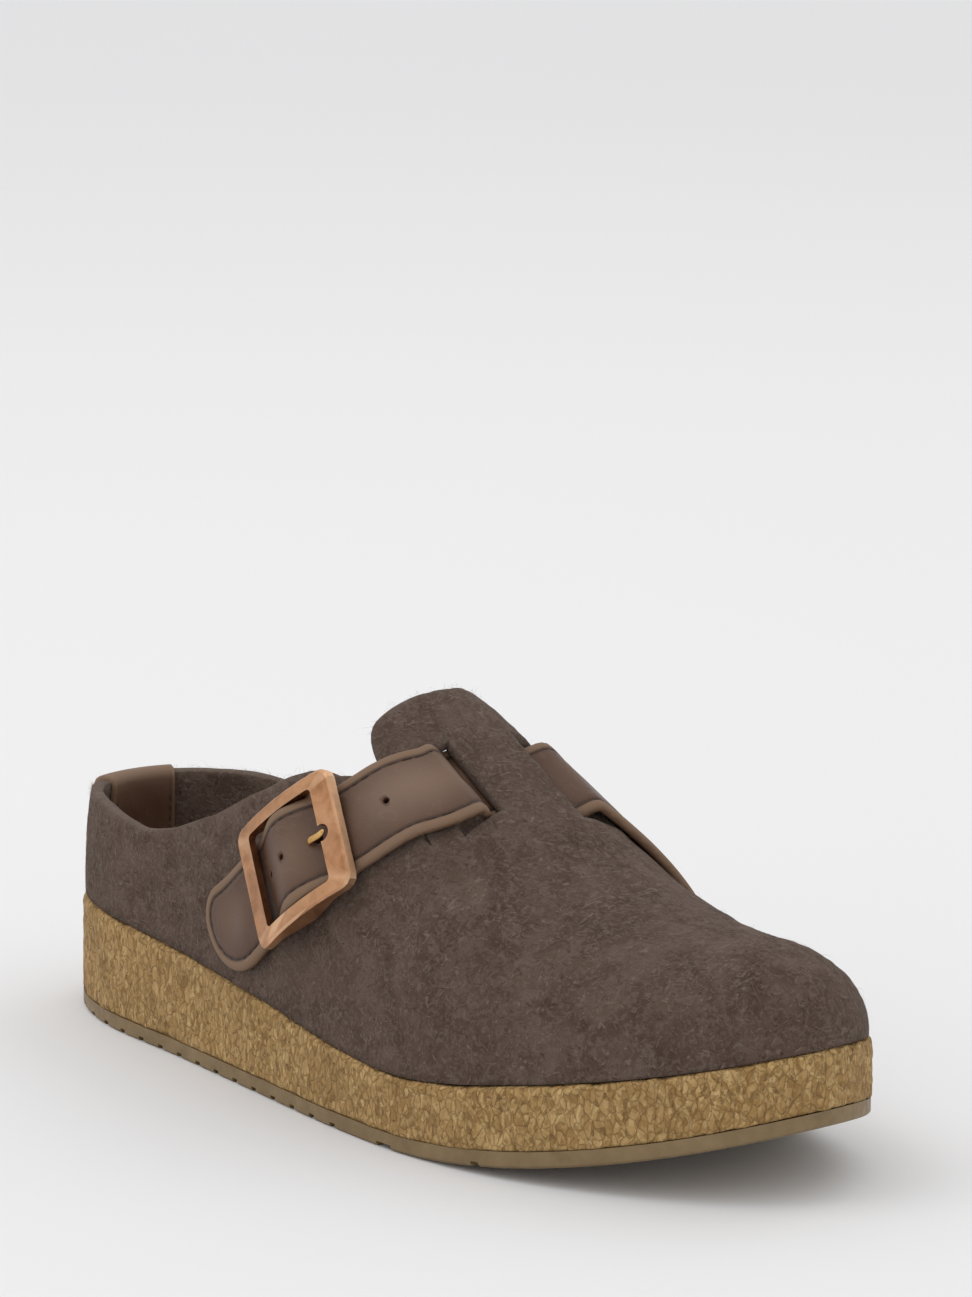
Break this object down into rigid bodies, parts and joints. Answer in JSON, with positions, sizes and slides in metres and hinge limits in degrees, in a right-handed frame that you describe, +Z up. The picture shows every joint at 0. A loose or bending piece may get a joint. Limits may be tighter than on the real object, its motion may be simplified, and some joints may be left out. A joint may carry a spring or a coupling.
{
  "type": "felt clog slipper",
  "caption": "Backless felt clog slipper for the right foot, with a buckled leather strap over the instep, on a cork midsole and a thin rubber sole.",
  "frame": {"origin": "on the ground, under the middle of the overall length and of the overall width", "axes": "+X to the toe, +Y to the inner side of the foot, +Z up"},
  "size_m": [0.2645, 0.0971, 0.0986],
  "materials": {
    "rubber": "matt olive-tan crepe",
    "cork": "sanded granular cork",
    "footbed_suede": "napped",
    "felt": "thick wool felt",
    "strap_leather": "waxed, slightly glossy",
    "bronze": "satin antique bronze",
    "prong_brass": "satin"
  },
  "bodies": {
    "root": {"outsole": "rubber", "midsole": "cork", "insole": "footbed_suede", "upper": "felt", "heel_patch": "strap_leather", "strap": "strap_leather", "buckle_loop": "strap_leather", "buckle_frame": "bronze", "buckle_prong": "prong_brass"}
  },
  "joints": []
}
